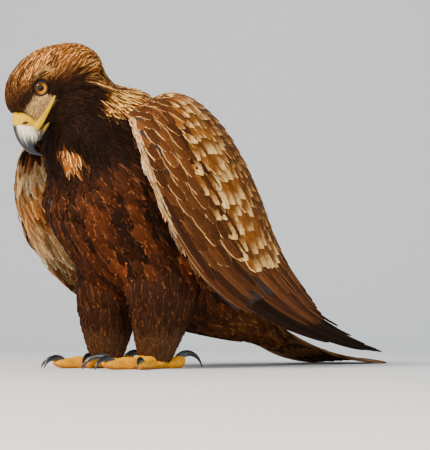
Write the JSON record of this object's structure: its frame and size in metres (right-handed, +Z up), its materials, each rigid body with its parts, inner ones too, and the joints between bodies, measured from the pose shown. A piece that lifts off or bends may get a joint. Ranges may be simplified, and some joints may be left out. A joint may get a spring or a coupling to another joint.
{
  "type": "golden eagle",
  "caption": "Life-size golden eagle standing on the ground, wings folded, head bowed and turned to its right, tail tip laid on the floor.",
  "frame": {"origin": "centre of the bird's footprint box, on the floor that the soles stand on", "axes": "+Z up; the body faces -Y, with the tail behind it along +Y; the bird's left side is +X"},
  "size_m": [0.2852, 0.622, 0.3848],
  "materials": {
    "crown_feathers": "golden-tan hackles with dark centres",
    "body_feathers": "dark chocolate contour feathers with rufous streaks",
    "wing_feathers": "brown coverts with pale buff and golden tips",
    "flight_feathers": "blackish-brown flight feathers with a slight sheen",
    "tail_feathers": "grey-brown tail feathers with a dark end band",
    "yellow_skin": "bright yellow scaly skin",
    "horn": "polished blue-grey to black horn",
    "eye": "wet, amber-brown eye with a black pupil"
  },
  "bodies": {
    "root": {"head": "crown_feathers", "neck": "crown_feathers", "trunk": "body_feathers", "tail_coverts": "body_feathers", "left_thigh": "body_feathers", "right_thigh": "body_feathers", "left_tarsus": "body_feathers", "right_tarsus": "body_feathers", "left_coverts": "wing_feathers", "right_coverts": "wing_feathers", "left_secondaries": "wing_feathers", "right_secondaries": "wing_feathers", "left_primaries": "flight_feathers", "right_primaries": "flight_feathers", "tail": "tail_feathers", "cere": "yellow_skin", "left_foot": "yellow_skin", "right_foot": "yellow_skin", "upper_bill": "horn", "lower_bill": "horn", "left_inner_claw": "horn", "left_middle_claw": "horn", "left_outer_claw": "horn", "left_hind_claw": "horn", "right_inner_claw": "horn", "right_middle_claw": "horn", "right_outer_claw": "horn", "right_hind_claw": "horn", "left_eye": "eye", "right_eye": "eye"}
  },
  "joints": []
}
